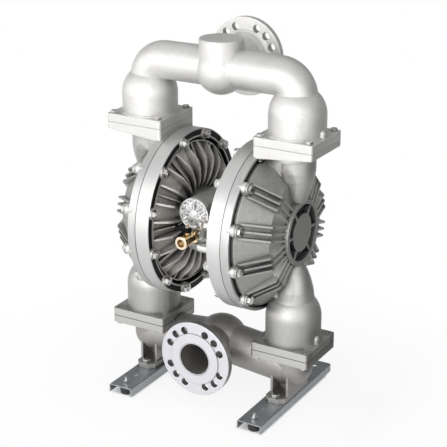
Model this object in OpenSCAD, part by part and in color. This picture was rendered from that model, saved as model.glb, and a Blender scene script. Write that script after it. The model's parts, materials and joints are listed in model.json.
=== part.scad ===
// Air-operated double diaphragm pump with 3 inch ports, on two sheet-steel rails.
// X runs along the diaphragm shaft, the inlet flange faces -Y, the outlet flange faces +Y,
// and Z = 0 is the floor under the rubber feet.

/* [Diaphragm chambers] */
// Height of the diaphragm shaft above the floor
shaft_z = 454; // [450:1:458]
// Outer radius of the clamped ring flanges
ring_r = 204.5; // [203:0.5:207]
// Distance from the pump's middle to the inner face of the air chamber's ring
ring_inner_x = 78.5; // [77:0.5:80]
// Distance from the pump's middle to the plane where the two ring flanges meet
parting_x = 114.5; // [113:0.5:116]
// Distance from the pump's middle to the outer face of the outer chamber's ring
ring_outer_x = 136; // [134:0.5:138]
// Distance from the ring's outer edge in to its bolt circle
ring_bolt_edge = 13.5; // [12.5:0.5:14.5]
// Number of bolts round each ring
ring_bolts = 12; // [12:4:12]
// Radius of the cylindrical bolt bosses on the outer chamber
ring_boss_r = 14.5; // [13:0.5:15]
// Radius of the hub ring in the middle of the outer chamber
hub_ring_r = 79; // [77:1:81]
// Distance from the pump's middle to the hub ring's outer face
hub_face_x = 221; // [219:0.5:223]
// Wall of the castings that hold the liquid
wet_wall = 9; // [8:0.5:10]
// Wall of the air chambers
air_wall = 8; // [7:0.5:9]
// Thickness of each cast rib on the outer chamber
rib_t = 5; // [4:0.5:6]
// Distance between neighbouring ribs of a group of three
rib_pitch = 16.5; // [15:0.5:18]
// Number of tall radial fins on each air chamber
fins = 24; // [24:12:36]
// Thickness of each radial fin
fin_t = 5; // [3.5:0.5:5.5]

/* [Port joints] */
// Distance from the pump's middle to the axis of each pair of ports
port_x = 200; // [199:0.5:202]
// Half the side of the square joint plates
plate_half = 76; // [74:0.5:77]
// Corner radius of the joint plates
plate_corner_r = 7; // [4:0.5:10]
// Height of the lower joint's seam
lower_seam_z = 160.5; // [160:0.5:162]
// Height of the upper joint's seam
upper_seam_z = 672; // [670:0.5:674]
// Thickness of the manifolds' joint plates
manifold_plate_t = 19; // [17:0.5:20]
// Thickness of the outer chamber's lower joint plate
chamber_plate_t = 19; // [17:0.5:21]
// Thickness of the outer chamber's upper joint plate at its outer edge
wedge_thin = 16; // [15:0.5:18]
// Thickness of the same plate at its inner edge
wedge_thick = 31; // [29:0.5:33]
// Half the distance between the bolts of a joint
joint_bolt_half = 62.5; // [61:0.5:63]

/* [Ball checks] */
// Radius of the check balls
ball_r = 44; // [43:0.5:45]
// Free lift of a check ball
ball_lift = 20; // [15:1:22]
// Radius of the chambers that the balls work in
ball_bore_r = 60; // [59:0.5:61]
// Wall of the ball chambers
ball_wall = 7.5; // [7:0.5:8]
// Outer radius of the valve seats
seat_r = 64; // [63:0.5:65]
// Thickness of the valve seats
seat_t = 12; // [11:0.5:13]
// Radius at which a ball touches its seat
seat_contact_r = 37; // [36:0.5:38]

/* [Ports and manifolds] */
// Height of the inlet flange's centre
inlet_z = 126; // [124:1:128]
// Height of the outlet flange's centre
outlet_z = 825; // [822:1:828]
// Distance from the pump's middle to each flange's sealing face
flange_face_y = 132; // [130:1:136]
// Outer radius of the flanges
flange_r = 95; // [94:0.5:97]
// Thickness of the flanges
flange_t = 16; // [14:0.5:18]
// Radius of the flanges' raised face
raised_face_r = 66; // [64:0.5:66]
// Height of the raised face
raised_face_h = 2; // [1.5:0.5:3]
// Bore of the flanges
flange_bore_r = 40; // [39:0.5:40.5]
// Diameter of the circle of eight flange holes
pcd_eight = 150; // [149:0.5:151]
// Diameter of the circle of four flange holes
pcd_four = 152.4; // [152:0.2:153]
// Radius of each flange hole
flange_hole_r = 9.5; // [9:0.5:9.5]
// Outer radius of the outlet manifold's pipe
outlet_pipe_r = 46; // [45:0.5:46.5]
// Outer radius of the inlet manifold's pipe
inlet_pipe_r = 51; // [49:0.5:52]
// Bore of both manifolds' pipes
pipe_bore_r = 38; // [36:0.5:38.5]

/* [Air valve] */
// Height of the air valve's axis
valve_z = 499; // [498:0.5:500]
// Radius of the round valve housing
valve_r = 39; // [38:0.5:39.5]
// Distance from the pump's middle to the front of the valve housing
valve_front_y = 118; // [116:0.5:119]
// Radius of the valve spool
spool_r = 16; // [15:0.5:17]
// Travel of the valve spool each way
spool_travel = 8; // [5:1:9]
// Height of the brass inlet valve's axis
brass_z = 446; // [445:0.5:447]
// Distance from the pump's middle to the brass valve's open end
brass_front_y = 187; // [185:0.5:187.5]
// Radius of the brass valve's barrel
brass_r = 14; // [13.5:0.5:14.5]
// Distance from the pump's middle to the brass valve's stem
brass_stem_y = 155; // [154:0.5:156]

/* [Rails and feet] */
// Distance from the pump's middle to the middle of each rail
rail_x = 183; // [181:1:185]
// Length of each rail
rail_len = 376; // [375:1:384]
// Width of each rail
rail_w = 64; // [62:0.5:66]
// Height of each rail
rail_h = 21.2; // [20:0.2:22]
// Sheet thickness of the rails
rail_t = 2.5; // [2:0.5:3]
// Depth that the rubber feet stand below the rails
foot_drop = 8; // [6:1:9]

/* [Moving pieces] */
// Radius of the diaphragm shaft
shaft_r = 14; // [13:0.5:15]
// Half of the diaphragm shaft's stroke
half_stroke = 20; // [15:1:20]
// Thickness of the diaphragms
diaphragm_t = 6; // [5:0.5:6.5]
// Radius of the plates that hold each diaphragm's middle
centre_plate_r = 88; // [84:1:90]

/* [Hidden] */
$fn = 96;

// Clearances: a sliding fit, a bolt in its hole, pieces that only lie close, and a cutter's overrun
slide_gap = 0.05;
hole_gap = 0.6;
seat_gap = 0.3;
over = 1;

// Metric fasteners: shank radius, hexagon's corner radius and head height
m12 = [6, 10.97, 8];
m10 = [5, 9.24, 6.4];
m8 = [4, 7.5, 5.5];
m6 = [3, 5.77, 4];

lower_plate_bottom = lower_seam_z - manifold_plate_t;
lower_plate_top = lower_seam_z + chamber_plate_t;
upper_plate_top = upper_seam_z + manifold_plate_t + 1;
ball_house_r = ball_bore_r + ball_wall;

// A ball rests where the seat's cone touches it, seat_gap clear
seat_contact_drop = sqrt(ball_r * ball_r - seat_contact_r * seat_contact_r);
seat_contact_depth = 3;
seat_slope = seat_contact_r / seat_contact_drop;
ball_rise = seat_contact_drop - seat_contact_depth + seat_gap * ball_r / seat_contact_drop;
lower_ball_z = lower_seam_z + ball_rise;
upper_ball_z = upper_seam_z + ball_rise;
upper_dome_h = 67;
lower_dome_h = 60;
upper_dome_z = upper_seam_z + upper_dome_h;
lower_dome_z = lower_plate_top + lower_dome_h;
ring_bolt_circle_r = ring_r - ring_bolt_edge;

outlet_pipe_z = outlet_z - 3;
elbow_bend = outlet_pipe_r + 1;
inlet_drop = 20;
inlet_end_z = inlet_z - inlet_drop;
inlet_angle = atan(inlet_drop / port_x);

rail_top_z = foot_drop + rail_h;
rail_floor_z = rail_top_z - rail_t;
pad_t = 13;
pad_bolt = [187, 60];
rail_holes_inner_y = 115;
rail_holes_outer_y = 160;
front_foot_y = -rail_holes_outer_y;
rear_foot_y = rail_holes_inner_y;
rail_hole_r = 5.5;

first_bolt_angle = 180 / ring_bolts;
bolt_angles = [for (i = [0:ring_bolts - 1]) first_bolt_angle + i * 360 / ring_bolts];
// Bolts that stand clear of both ports have their heads outside and carry ribs
function clear_of_ports(a) = abs(sin(a)) < 0.9;
through_angles = [for (a = bolt_angles) if (clear_of_ports(a)) a];
stud_angles = [for (a = bolt_angles) if (!clear_of_ports(a)) a];
ring_boss_x = ring_outer_x + 16;
ring_nut_x = ring_inner_x - 4;

hub_x = 64;
hub_inner_x = hub_x + 11;
hub_bolt_r = 44;
plate_gap = 0.3;
inner_plate_t = parting_x - diaphragm_t / 2 - hub_inner_x - half_stroke - 2.5;
nut_space_r = m10[1] + 2;
nut_top_inner = upper_seam_z - wedge_thick + 2.5;
tapped_end_z = upper_seam_z - wedge_thin + 1;
stud_end_x = ring_outer_x - 10;

module rod_x(r, x0, x1, y = 0, z = 0) {
  translate([x0, y, z]) rotate([0, 90, 0]) cylinder(r = r, h = x1 - x0);
}

module rod_y(r, y0, y1, x = 0, z = 0) {
  translate([x, y1, z]) rotate([90, 0, 0]) cylinder(r = r, h = y1 - y0);
}

module rod_z(r, z0, z1, x = 0, y = 0) {
  translate([x, y, z0]) cylinder(r = r, h = z1 - z0);
}

module cone_z(r0, r1, z0, z1, x = 0, y = 0) {
  translate([x, y, z0]) cylinder(r1 = r0, r2 = r1, h = z1 - z0);
}

module cone_y(r0, r1, y0, y1, x = 0, z = 0) {
  translate([x, y0, z]) rotate([-90, 0, 0]) cylinder(r1 = r0, r2 = r1, h = y1 - y0);
}

// Turned piece round the shaft's axis, from points of [radius, x]
module turned_x(points) {
  translate([0, 0, shaft_z]) rotate([0, 90, 0]) rotate_extrude() polygon(points);
}

// Turned piece round an axis along +Y, from points of [radius, y]
module turned_y(points, x = 0, z = 0) {
  translate([x, 0, z]) rotate([-90, 0, 0]) rotate_extrude() polygon(points);
}

module turned_z(points, x = 0) {
  translate([x, 0, 0]) rotate_extrude() polygon(points);
}

module block(x0, x1, y0, y1, z0, z1) {
  translate([x0, y0, z0]) cube([x1 - x0, y1 - y0, z1 - z0]);
}

// Puts its children at each angle round the shaft's axis, with +Y as the outward direction
module round_shaft(angles) {
  for (a = angles) translate([0, 0, shaft_z]) rotate([a, 0, 0]) children();
}

module mirrored(side) {
  if (side < 0) mirror([1, 0, 0]) children();
  else children();
}

module rounded_square(half, r) {
  square([2 * half - 2 * r, 2 * half], center = true);
  square([2 * half, 2 * half - 2 * r], center = true);
  for (sx = [-1, 1], sy = [-1, 1]) translate([sx * (half - r), sy * (half - r)]) circle(r = r);
}

module joint_plate(z0, z1) {
  translate([port_x, 0, z0]) linear_extrude(z1 - z0) rounded_square(plate_half, plate_corner_r);
}

// Round lug that stands on a joint plate beside its ball housing
module plate_lug(z, r, height) {
  lug_x = port_x + plate_half - r - 2;
  rod_z(r, z - over, z + height, lug_x, -6);
  translate([lug_x, -6, z + height]) sphere(r = r);
}

module at_joint_corners() {
  for (sx = [-1, 1], sy = [-1, 1])
    translate([port_x + sx * joint_bolt_half, sy * joint_bolt_half, 0]) children();
}

// The two corners of a joint on the pump's inner side (-1) or on its outer side (1)
module at_joint_edge(side) {
  for (sy = [-1, 1])
    translate([port_x + side * joint_bolt_half, sy * joint_bolt_half, 0]) children();
}

// Hexagon head or nut with turned chamfers, at its low end, its high end or both
module hexagon_z(r, z0, z1, low = false, high = false) {
  flat_r = r * cos(30) - 0.4;
  cut = (r - flat_r) * tan(30);
  translate([0, 0, z0]) intersection() {
    cylinder(r = r, h = z1 - z0, $fn = 6);
    rotate_extrude() polygon([
      [0, 0], [low ? flat_r : r + over, 0], [r + (low ? 0 : over), low ? cut : over],
      [r + (high ? 0 : over), z1 - z0 - (high ? cut : over)], [high ? flat_r : r + over, z1 - z0],
      [0, z1 - z0]]);
  }
}

module hexagon_x(r, x0, x1, y = 0, low = false, high = false) {
  translate([x0, y, 0]) rotate([0, 90, 0]) hexagon_z(r, 0, x1 - x0, low, high);
}

module hexagon_y(r, y0, y1, x = 0, z = 0, low = false, high = false) {
  translate([x, y0, z]) rotate([-90, 0, 0]) hexagon_z(r, 0, y1 - y0, low, high);
}

// Space that a check ball sweeps, from its seat to its highest place
module ball_way(z_rest, gap) {
  rod_z(ball_r + gap, z_rest - ball_r, z_rest + ball_lift, port_x);
  translate([port_x, 0, z_rest + ball_lift]) sphere(r = ball_r + gap);
}

// Four cast ribs that guide the ball and stop it, inside a ball chamber
module ball_cage(z0, dome_z, z_rest) {
  cage_rib_t = 8;
  cage_gap = 0.8;
  difference() {
    intersection() {
      union() {
        rod_z(ball_bore_r + 2, z0, dome_z, port_x);
        translate([port_x, 0, dome_z]) sphere(r = ball_bore_r + 2);
      }
      for (a = [45, 135])
        translate([port_x, 0, z0]) rotate([0, 0, a])
          translate([-ball_house_r, -cage_rib_t / 2, 0])
            cube([2 * ball_house_r, cage_rib_t, z_rest + ball_lift + 30 - z0]);
    }
    ball_way(z_rest, cage_gap);
    rod_z(pipe_bore_r - 4, z_rest, dome_z + ball_bore_r, port_x);
  }
}

module ball_chamber_void(z0, dome_z) {
  rod_z(ball_bore_r, z0 - over, dome_z, port_x);
  translate([port_x, 0, dome_z]) sphere(r = ball_bore_r);
}

module seat_recess(z_seam) {
  rod_z(seat_r + seat_gap, z_seam - seat_t - seat_gap, z_seam + over, port_x);
}

// Holes of the flange: eight on one circle and four on another, which straddle the centre line
module flange_holes(z) {
  for (i = [0:7])
    translate([0, 0, z]) rotate([0, 22.5 + i * 45, 0])
      rod_y(flange_hole_r, -flange_t - raised_face_h - over, over, pcd_eight / 2);
  for (i = [0:3])
    translate([0, 0, z]) rotate([0, 45 + i * 90, 0])
      rod_y(flange_hole_r, -flange_t - raised_face_h - over, over, pcd_four / 2);
}

// Flange with its neck, its sealing face on Y = 0, and the barrel behind it towards -Y
module flange(z, barrel_r, barrel_len) {
  back = raised_face_h + flange_t;
  neck = 14;
  translate([0, 0, z]) rotate([-90, 0, 0]) rotate_extrude() polygon([
    [0, 0], [raised_face_r, 0], [raised_face_r, -raised_face_h], [flange_r - 1, -raised_face_h],
    [flange_r, -raised_face_h - 1], [flange_r, -back], [barrel_r + neck, -back],
    [barrel_r + neck * 0.45, -back - neck * 0.4], [barrel_r, -back - neck * 1.3],
    [barrel_r, -barrel_len], [0, -barrel_len]]);
}

module outlet_manifold_side() {
  rod_z(ball_house_r, upper_seam_z, upper_dome_z, port_x);
  rod_z(ball_house_r + 4, upper_plate_top - over, upper_plate_top + 3, port_x);
  translate([port_x, 0, upper_dome_z]) sphere(r = ball_house_r);
  joint_plate(upper_seam_z, upper_plate_top);
  rod_x(outlet_pipe_r, 0, port_x - elbow_bend, 0, outlet_pipe_z);
  outlet_elbow(outlet_pipe_r);
  rod_z(outlet_pipe_r, upper_dome_z, outlet_pipe_z - elbow_bend, port_x);
  plate_lug(upper_plate_top, 8.5, 10);
}

// Quarter bend from the upright ball chamber into the horizontal pipe
module outlet_elbow(r) {
  translate([port_x - elbow_bend, 0, outlet_pipe_z - elbow_bend]) rotate([90, 0, 0])
    rotate_extrude(angle = 90) translate([elbow_bend, 0]) circle(r = r);
}

module outlet_voids_side() {
  ball_chamber_void(upper_seam_z, upper_dome_z);
  rod_z(pipe_bore_r, upper_dome_z, outlet_pipe_z - elbow_bend, port_x);
  outlet_elbow(pipe_bore_r);
  rod_x(pipe_bore_r, -over, port_x - elbow_bend, 0, outlet_pipe_z);
  at_joint_corners() rod_z(m10[0] + hole_gap, upper_seam_z - over, upper_plate_top + over);
}

module outlet_manifold() {
  hub_r = 53;
  hub_top = outlet_z + 66;
  hub_ball_r = 60;
  color("gainsboro") {
    difference() {
      union() {
        for (side = [-1, 1]) mirrored(side) outlet_manifold_side();
        rod_z(hub_r, outlet_pipe_z, hub_top - 2);
        rod_z(hub_r - 1.5, outlet_pipe_z, hub_top);
        translate([0, 0, outlet_pipe_z - 4]) sphere(r = hub_ball_r);
        translate([0, flange_face_y, 0]) flange(outlet_z, hub_r + 1, flange_face_y);
      }
      for (side = [-1, 1]) mirrored(side) outlet_voids_side();
      translate([0, 0, outlet_pipe_z]) sphere(r = hub_r - wet_wall);
      rod_y(flange_bore_r, 0, flange_face_y + over, 0, outlet_z);
      translate([0, flange_face_y, 0]) flange_holes(outlet_z);
    }
    for (side = [-1, 1]) mirrored(side) ball_cage(upper_seam_z, upper_dome_z, upper_ball_z);
  }
}

// Foot under each end of the inlet manifold: a base pad and two upright webs with an open pocket
module manifold_foot() {
  pad_x0 = 161;
  pad_x1 = 213;
  pad_half_y = 75;
  chamfer = 13;
  web_t = 6;
  web_half_y = 47;
  web_top = inlet_end_z - 8;
  translate([0, 0, rail_top_z]) linear_extrude(pad_t) polygon([
    [pad_x0, -pad_half_y + chamfer], [pad_x0 + chamfer, -pad_half_y], [pad_x1 - chamfer, -pad_half_y],
    [pad_x1, -pad_half_y + chamfer], [pad_x1, pad_half_y - chamfer], [pad_x1 - chamfer, pad_half_y],
    [pad_x0 + chamfer, pad_half_y], [pad_x0, pad_half_y - chamfer]]);
  for (x = [pad_x0 + 4, pad_x1 - web_t])
    block(x, x + web_t, -web_half_y, web_half_y, rail_top_z + pad_t - over, web_top);
  block(pad_x0 + 4, pad_x1, -web_t, web_t, rail_top_z + pad_t - over, web_top);
}

module inlet_manifold_side() {
  end_r = inlet_pipe_r - 1;
  translate([0, 0, inlet_z]) rotate([0, inlet_angle, 0])
    cylinder_x(inlet_pipe_r, port_x - 2);
  translate([port_x, 0, inlet_end_z]) sphere(r = end_r);
  rod_z(end_r, inlet_end_z, lower_plate_bottom + over, port_x);
  cone_z(end_r, end_r + 12, lower_plate_bottom - 12, lower_plate_bottom + over, port_x);
  joint_plate(lower_plate_bottom, lower_seam_z);
  manifold_foot();
}

module cylinder_x(r, length) {
  rotate([0, 90, 0]) cylinder(r = r, h = length);
}

module inlet_voids_side() {
  throat_r = seat_contact_r - 2;
  translate([0, 0, inlet_z]) rotate([0, inlet_angle, 0]) cylinder_x(pipe_bore_r, port_x - 4);
  translate([port_x, 0, inlet_end_z]) sphere(r = pipe_bore_r + 2);
  rod_z(throat_r, inlet_end_z, lower_seam_z, port_x);
  seat_recess(lower_seam_z);
  at_joint_corners() rod_z(m10[0] + hole_gap, lower_plate_bottom - over, lower_seam_z + over);
  block(port_x - plate_half - over, port_x + plate_half, -plate_half, plate_half, lower_seam_z,
    lower_seam_z + inlet_pipe_r);
  at_pad_bolts() rod_z(m12[0] + hole_gap, rail_top_z - over, rail_top_z + pad_t + over);
}

module at_pad_bolts() {
  for (sy = [-1, 1]) translate([pad_bolt[0], sy * pad_bolt[1], 0]) children();
}

module inlet_manifold() {
  hub_r = 66;
  barrel_r = 53;
  color("silver") difference() {
    union() {
      for (side = [-1, 1]) mirrored(side) inlet_manifold_side();
      translate([0, 0, inlet_z]) sphere(r = hub_r);
      mirror([0, 1, 0]) translate([0, flange_face_y, 0]) flange(inlet_z, barrel_r, flange_face_y);
    }
    for (side = [-1, 1]) mirrored(side) inlet_voids_side();
    translate([0, 0, inlet_z]) sphere(r = hub_r - wet_wall);
    rod_y(flange_bore_r, -flange_face_y - over, 0, 0, inlet_z);
    mirror([0, 1, 0]) translate([0, flange_face_y, 0]) flange_holes(inlet_z);
  }
}

// Outer chamber: the cast cover that holds the liquid, with both port joints
panel_r = ring_r - 15.5;
panel_knee = [130, ring_outer_x + 64];
panel_foot_x = ring_outer_x + 6;
rim_groove_r = ring_r - 7;
rim_groove_x = ring_outer_x - 7;
hub_floor_x = hub_face_x - 16;
cavity_r = ring_r - 44.5;

module chamber_shell() {
  turned_x([[0, hub_floor_x], [hub_ring_r - 10, hub_floor_x], [hub_ring_r - 10, hub_face_x],
    [hub_ring_r, hub_face_x], [hub_ring_r + 1, hub_floor_x + 4], panel_knee,
    [panel_r - 1, panel_foot_x + 0.5], [panel_r, panel_foot_x - 1], [panel_r, rim_groove_x],
    [rim_groove_r - 0.5, rim_groove_x], [rim_groove_r, ring_outer_x], [ring_r - 1, ring_outer_x],
    [ring_r, ring_outer_x - 1], [ring_r, parting_x], [0, parting_x]]);
}

module chamber_cavity() {
  knee_r = panel_knee[0] - wet_wall;
  turned_x([[0, hub_floor_x - wet_wall], [60, hub_floor_x - wet_wall],
    [knee_r, panel_knee[1] - wet_wall], [cavity_r, panel_foot_x],
    [cavity_r, parting_x - over], [0, parting_x - over]]);
}

// One rib of a group, a flat web that stands on the panel from the bolt boss to the hub ring
module chamber_rib(offset_t) {
  rib_h = 10;
  sunk = 4;
  translate([0, 0, offset_t - rib_t / 2]) linear_extrude(rib_t) polygon([
    [rim_groove_x, panel_r - 4], [ring_boss_x + 1, panel_r - 4],
    [panel_knee[1] + rib_h, panel_knee[0] + rib_h], [hub_face_x - 4, hub_ring_r - 1],
    [hub_floor_x - sunk, hub_ring_r - 3], [panel_knee[1] - sunk, panel_knee[0] - sunk],
    [rim_groove_x, panel_r - sunk - 14]]);
}

module hub_webs() {
  web_t = 6;
  boss_r = 46;
  boss_x = hub_face_x - 2;
  rod_x(boss_r, hub_floor_x - over, boss_x, 0, shaft_z);
  round_shaft([0, 55, 125, 180, 235, 305])
    block(hub_floor_x - over, boss_x, 0, hub_ring_r - 4, -web_t / 2, web_t / 2);
}

// Half outlines of the necks between the ports and the hub ring, as [radius, height from the shaft].
// Beside each neck a second one stands closer to the ring, so that together they're wider than deep.
neck_offset = 24;
collar_r = 53.5;
collar_z = upper_seam_z - wedge_thick - 8;
upper_neck = [[0, 76], [26, 76], [31, 92], [37, 112], [42.5, 132], [45.5, 152], [46, 202], [0, 202]];
upper_neck_side = [[0, 96], [28, 96], [35, 116], [40, 140], [42.5, 170], [43, 202], [0, 202]];
lower_neck = [[0, -76], [22, -79], [32, -98], [40, -118], [46.5, -143], [50, -170], [0, -170]];
lower_neck_side = [[0, -84], [18, -86], [30, -106], [39, -130], [44, -160], [0, -160]];

module upper_port() {
  inner_x = port_x - plate_half;
  outer_x = port_x + plate_half;
  intersection() {
    joint_plate(upper_seam_z - wedge_thick - over, upper_seam_z);
    translate([0, plate_half + over, 0]) rotate([90, 0, 0]) linear_extrude(2 * plate_half + 2 * over)
      polygon([[inner_x - over, upper_seam_z], [inner_x - over, upper_seam_z - wedge_thick],
        [outer_x + over, upper_seam_z - wedge_thin], [outer_x + over, upper_seam_z]]);
  }
  rod_z(collar_r, collar_z, upper_seam_z - wedge_thin, port_x - 10);
  turned_z([for (p = upper_neck) [p[0], shaft_z + p[1]]], port_x);
  turned_z([for (p = upper_neck_side) [p[0], shaft_z + p[1]]], port_x - neck_offset);
}

module lower_port() {
  joint_plate(lower_seam_z, lower_plate_top);
  rod_z(ball_house_r + 4, lower_plate_top - over, lower_plate_top + 3, port_x);
  rod_z(ball_house_r, lower_seam_z, lower_dome_z, port_x);
  translate([port_x, 0, lower_dome_z]) sphere(r = ball_house_r);
  turned_z([for (p = lower_neck) [p[0], shaft_z + p[1]]], port_x);
  turned_z([for (p = lower_neck_side) [p[0], shaft_z + p[1]]], port_x - neck_offset);
  plate_lug(lower_plate_top, 10, 13);
}

// Inner ways from the room behind the diaphragm up to one ball chamber and down to the other
upper_bend_z = shaft_z + 138;
upper_way_r = 22;
throat_r = 14;
lower_bend_z = shaft_z - 104;
lower_way_r = 20;
way_inset = 25;

module outer_chamber() {
  bore_r = pipe_bore_r - 2;
  color("darkgray") {
    difference() {
      union() {
        chamber_shell();
        hub_webs();
        upper_port();
        lower_port();
        round_shaft(through_angles) {
          rod_x(ring_boss_r, rim_groove_x - over, ring_boss_x, ring_bolt_circle_r);
          for (k = [-1, 0, 1]) chamber_rib(k * rib_pitch);
        }
      }
      chamber_cavity();
      seat_recess(upper_seam_z);
      rod_z(bore_r, upper_bend_z, upper_seam_z, port_x);
      cone_z(throat_r, bore_r, shaft_z + hub_ring_r + 7, upper_bend_z, port_x);
      rod_x(upper_way_r, ring_outer_x, port_x, 0, upper_bend_z);
      ball_chamber_void(lower_seam_z, lower_dome_z);
      rod_z(lower_way_r, lower_dome_z + lower_dome_h / 2, lower_bend_z, port_x - way_inset);
      round_shaft(through_angles) {
        rod_x(m12[0] + hole_gap, parting_x - over, ring_boss_x + over, ring_bolt_circle_r);
        rod_x(m12[1] + over, ring_boss_x, ring_boss_x + 22, ring_bolt_circle_r);
      }
      round_shaft(stud_angles)
        rod_x(m12[0] + slide_gap, parting_x - over, stud_end_x + over, ring_bolt_circle_r);
      at_joint_corners() rod_z(m10[0] + slide_gap, lower_seam_z - over, lower_plate_top + over);
      at_joint_edge(1) rod_z(m10[0] + slide_gap, tapped_end_z - over, upper_seam_z + over);
      at_joint_edge(-1) {
        rod_z(m10[0] + hole_gap, upper_seam_z - wedge_thick - 5, upper_seam_z + over);
        rod_z(nut_space_r, nut_top_inner - 14, nut_top_inner);
      }
      diaphragm_groove();
    }
    ball_cage(lower_seam_z, lower_dome_z, lower_ball_z);
  }
}

// Both castings hold the diaphragm's rim in a groove, and stand back from its web inside the rim
bead_in = cavity_r + 6;
bead_out = bead_in + 16;
web_t = diaphragm_t - 1.6;

module diaphragm_groove() {
  g = diaphragm_t / 2 + plate_gap;
  w = web_t / 2 + plate_gap;
  turned_x([[bead_in - plate_gap, parting_x - g], [bead_out + plate_gap, parting_x - g],
    [bead_out + plate_gap, parting_x + g], [bead_in - plate_gap, parting_x + g]]);
  turned_x([[cavity_r - 8, parting_x - w], [bead_in, parting_x - w],
    [bead_in, parting_x + w], [cavity_r - 8, parting_x + w]]);
}

// Air chamber: a dished casting between the ring and the centre body. A groove and a thin rim run
// round inside its flange, and tall and low fins stand on the dish.
dish_r = 112;
spigot_r = 66;
dish_knee = [cavity_r - 25, ring_inner_x - 1];
groove_out = ring_r - 20.5;
rim_out = groove_out - 8;
rim_in = rim_out - 4;
rim_x = ring_inner_x + 5;

module air_shell() {
  groove_x = ring_inner_x + 16;
  turned_x([[22, hub_x], [spigot_r, hub_x], [spigot_r, hub_x + 3], [dish_r, hub_x + 3], dish_knee,
    [rim_in - 3, groove_x - 3],
    [rim_in, rim_x + 1], [rim_in + 1, rim_x], [rim_out - 1, rim_x], [rim_out, rim_x + 1],
    [rim_out + 1, groove_x], [groove_out, groove_x], [groove_out, ring_inner_x], [ring_r - 1, ring_inner_x],
    [ring_r, ring_inner_x + 1], [ring_r, parting_x], [cavity_r, parting_x],
    [cavity_r - 4, ring_inner_x + 26], [dish_knee[0] - 3, dish_knee[1] + air_wall + 1],
    [106, hub_inner_x + 1], [66, hub_inner_x], [22, hub_inner_x]]);
}

// Outline that the tall fins fill: it starts at the rim, and its crest bulges to the pump's middle
module tall_fin_envelope() {
  turned_x([[64, hub_x + 6], [64, hub_x], [70, hub_x - 5], [78, hub_x - 9], [88, hub_x - 12],
    [98, hub_x - 13.5], [112, hub_x - 14], [rim_out - 50, hub_x - 13.5], [rim_out - 38, hub_x - 11],
    [rim_out - 28, hub_x - 4.5], [rim_out - 18, hub_x + 4.5], [rim_out - 9, hub_x + 13],
    [rim_out - 1, rim_x + 1.5], [rim_out - 1, rim_x + 12], [dish_knee[0], dish_knee[1] + 4],
    [112, hub_x + 6]]);
}

module low_fin_envelope() {
  low = 9;
  turned_x([[64, hub_x + 6], [64, hub_x], [72, hub_x - 3], [112, hub_x + 3 - low],
    [dish_knee[0], dish_knee[1] - low], [rim_out - 16, rim_x - 3], [rim_out - 1, rim_x + 1],
    [rim_out - 1, rim_x + 12], [dish_knee[0], dish_knee[1] + 4], [112, hub_x + 6]]);
}

module air_chamber() {
  pad_r = 12.5;
  color("gray") difference() {
    union() {
      air_shell();
      intersection() {
        tall_fin_envelope();
        round_shaft([for (i = [0:fins - 1]) (i + 0.5) * 360 / fins])
          block(hub_x - 20, parting_x, 50, 180, -fin_t / 2, fin_t / 2);
      }
      intersection() {
        low_fin_envelope();
        round_shaft([for (a = bolt_angles) a + first_bolt_angle])
          block(hub_x - 20, parting_x, 50, 180, -fin_t / 2 + 0.5, fin_t / 2 - 0.5);
      }
      round_shaft(bolt_angles) rod_x(pad_r, ring_nut_x, ring_inner_x + 18, ring_bolt_circle_r);
    }
    round_shaft(bolt_angles)
      rod_x(m12[0] + hole_gap, ring_nut_x - over, parting_x + over, ring_bolt_circle_r);
    round_shaft([for (i = [0:5]) 30 + i * 60]) {
      rod_x(m8[0] + hole_gap, hub_x - over, hub_inner_x + over, hub_bolt_r);
      rod_x(m8[1], hub_inner_x - m8[2] - 0.5, hub_inner_x + over, hub_bolt_r);
    }
    diaphragm_groove();
  }
}

// Centre body: the block between the air chambers that carries the shaft and the air valve
bush_r = 18;
bush_len = 22;
centre_r = 64;
face_y = centre_r + 2;
port_pad_z = valve_z - 92;
pad_front_y = 70;

module centre_body() {
  exhaust_r = 20;
  color("lightgray") difference() {
    union() {
      rod_x(centre_r, -hub_x, hub_x, 0, shaft_z);
      block(-37, 37, -face_y, 0, brass_z - 22, valve_z);
      rod_y(valve_r - 2, -face_y, 0, 0, valve_z);
      block(-22, 22, -pad_front_y, 0, port_pad_z - 12, port_pad_z + 12);
      block(-22, 22, -20, 0, port_pad_z - 12, shaft_z);
      rod_y(30, 0, 66, 0, shaft_z);
    }
    rod_x(shaft_r + 1, -hub_x - over, hub_x + over, 0, shaft_z);
    for (side = [-1, 1]) mirrored(side) {
      rod_x(bush_r + slide_gap, hub_x - bush_len, hub_x + over, 0, shaft_z);
      round_shaft([for (i = [0:5]) 30 + i * 60])
        rod_x(m8[0] + slide_gap, hub_x - 21, hub_x + over, hub_bolt_r);
    }
    rod_y(exhaust_r + slide_gap, 50, 66 + over, 0, shaft_z);
    rod_y(12, 20, 51, 0, shaft_z);
    for (x = [-22, 22]) rod_y(6, -face_y - over, -30, x, valve_z - 8);
  }
}

// Each diaphragm: a rim clamped between the castings, one rolling fold, and a clamped middle
module diaphragm() {
  t = diaphragm_t / 2;
  w = web_t / 2;
  r1 = centre_plate_r + 3;
  r2 = cavity_r - 8;
  mid = (r1 + r2) / 2;
  fold = 9;
  color("dimgray") turned_x([[shaft_r, parting_x - t], [r1, parting_x - t], [mid - 12, parting_x - t - fold],
    [mid + 10, parting_x - t - fold], [r2, parting_x - w], [bead_in, parting_x - w],
    [bead_in, parting_x - t], [bead_out, parting_x - t], [bead_out, parting_x + t], [bead_in, parting_x + t],
    [bead_in, parting_x + w], [r2 - 2, parting_x + w], [mid + 8, parting_x + t - fold],
    [mid - 10, parting_x + t - fold], [r1 + 3, parting_x + t], [shaft_r, parting_x + t]]);
}

module diaphragm_shaft() {
  neck_r = shaft_r - 3;
  step_x = parting_x - diaphragm_t / 2 - inner_plate_t;
  color("silver") {
    rod_x(shaft_r, -step_x, step_x, 0, shaft_z);
    rod_x(neck_r, -parting_x - 22, parting_x + 22, 0, shaft_z);
  }
}

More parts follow.
